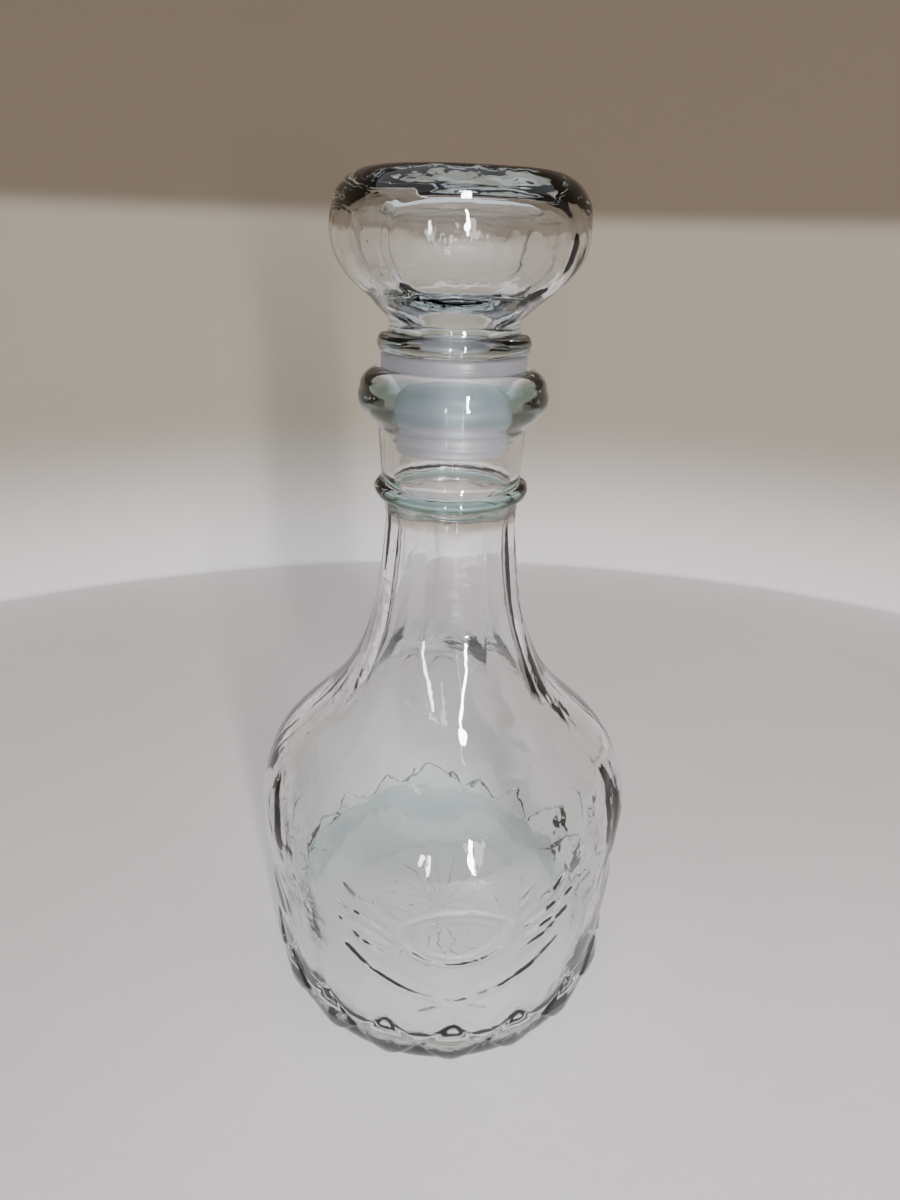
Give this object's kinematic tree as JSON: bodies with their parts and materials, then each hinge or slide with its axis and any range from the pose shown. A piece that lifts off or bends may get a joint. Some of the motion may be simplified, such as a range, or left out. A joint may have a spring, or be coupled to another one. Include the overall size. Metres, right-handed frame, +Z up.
{
  "type": "glass decanter",
  "caption": "Hollow pressed-glass decanter with a flared neck, rolled lip and faceted heel band, closed by a hollow glass stopper in a lift-out plastic seal sleeve.",
  "frame": {"origin": "on the table, under the middle of the bottle's base", "axes": "+Z up along the bottle's axis, -Y towards the front of the bottle, where the medallion is, +X to the right seen from the front"},
  "size_m": [0.1134, 0.1146, 0.235],
  "materials": {
    "bottle_glass": "clear soda glass, faint blue-green in thick places, fire-polished",
    "seal_plastic": "translucent milky polyethylene, satin",
    "stopper_glass": "clear soda glass, faint blue tint, fire-polished"
  },
  "bodies": {
    "decanter": {"bottle": "bottle_glass"},
    "seal": {"seal_sleeve": "seal_plastic"},
    "stopper": {"stopper": "stopper_glass"}
  },
  "joints": [
    {"name": "stopper_lift", "type": "slide", "parent": "decanter", "child": "seal", "axis": [0, 0, 1], "range_m": [0, 0.06]},
    {"name": "stopper_turn", "type": "hinge", "parent": "seal", "child": "stopper", "pos_m": [0, 0, 0.1969], "axis": [0, 0, 1], "continuous": true}
  ]
}
